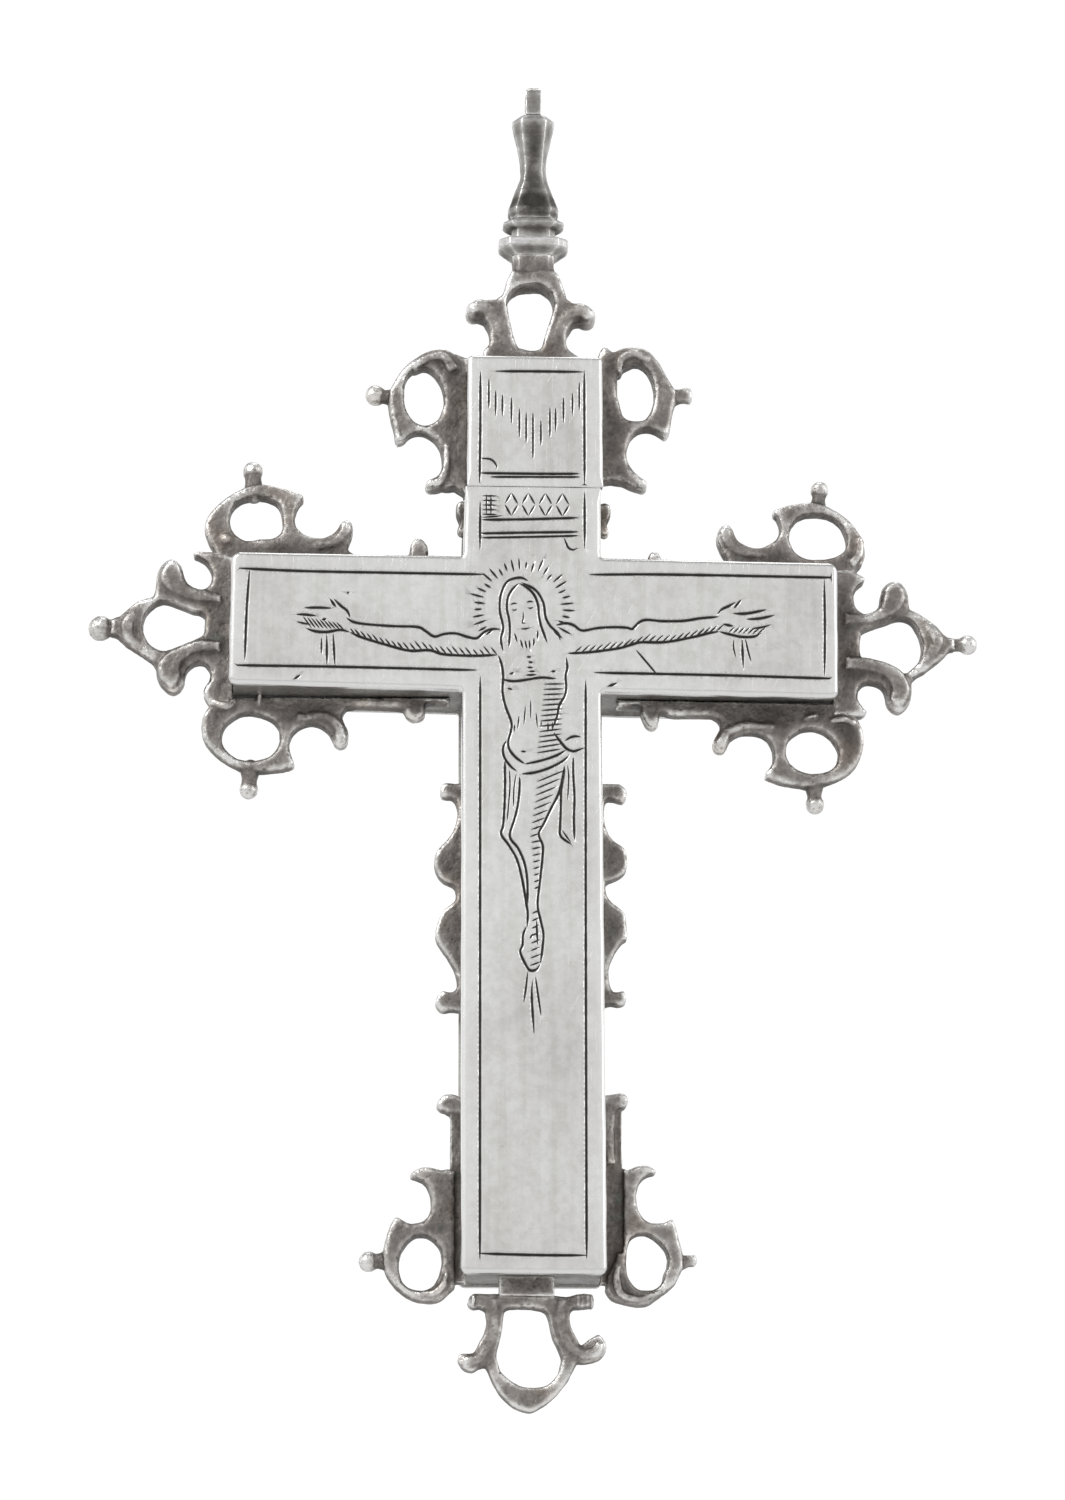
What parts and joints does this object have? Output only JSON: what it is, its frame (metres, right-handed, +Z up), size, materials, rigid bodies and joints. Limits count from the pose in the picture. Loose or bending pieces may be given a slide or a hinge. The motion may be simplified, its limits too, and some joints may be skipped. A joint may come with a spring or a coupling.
{
  "type": "reliquary cross pendant",
  "caption": "Hollow box-section cross with an engraved front sheet, cast scroll borders and a pull-off cap under a baluster finial and eye.",
  "frame": {"origin": "centre of the hole in the suspension eye", "axes": "+Z up along the upright, the engraved front faces -Y, +X to the viewer's right"},
  "size_m": [0.0784, 0.009, 0.1205],
  "materials": {
    "engraved_sheet": "worn polished silver sheet with engraved lines",
    "side_strip": "dull tarnished silver strip",
    "cast_scroll": "cast silver, dark grey-brown tarnish with rubbed high spots",
    "finial_silver": "filed and rubbed silver with dark recesses"
  },
  "bodies": {
    "cap": {"cap_front_plate": "engraved_sheet", "cap_back_plate": "engraved_sheet", "cap_left_wall": "side_strip", "cap_right_wall": "side_strip", "cap_top_wall": "side_strip", "cap_sleeve": "side_strip", "cap_left_scroll": "cast_scroll", "cap_right_scroll": "cast_scroll", "top_arch": "cast_scroll", "finial_collar": "finial_silver", "finial_moulding": "finial_silver", "finial_baluster": "finial_silver", "suspension_eye": "finial_silver"},
    "cross": {"front_plate": "engraved_sheet", "back_plate": "engraved_sheet", "neck_left_wall": "side_strip", "neck_right_wall": "side_strip", "neck_left_fin": "cast_scroll", "neck_right_fin": "cast_scroll", "left_arm_wall": "side_strip", "right_arm_wall": "side_strip", "shaft_wall": "side_strip", "upper_left_scroll": "cast_scroll", "upper_right_scroll": "cast_scroll", "lower_left_scroll": "cast_scroll", "lower_right_scroll": "cast_scroll", "left_end_scroll": "cast_scroll", "right_end_scroll": "cast_scroll", "left_shaft_border": "cast_scroll", "right_shaft_border": "cast_scroll", "left_foot_scroll": "cast_scroll", "right_foot_scroll": "cast_scroll", "foot_lug": "cast_scroll", "foot_ornament": "cast_scroll"}
  },
  "joints": [
    {"name": "cap_slide", "type": "slide", "parent": "cap", "child": "cross", "axis": [0, 0, -1], "range_m": [0, 0.0065]}
  ]
}
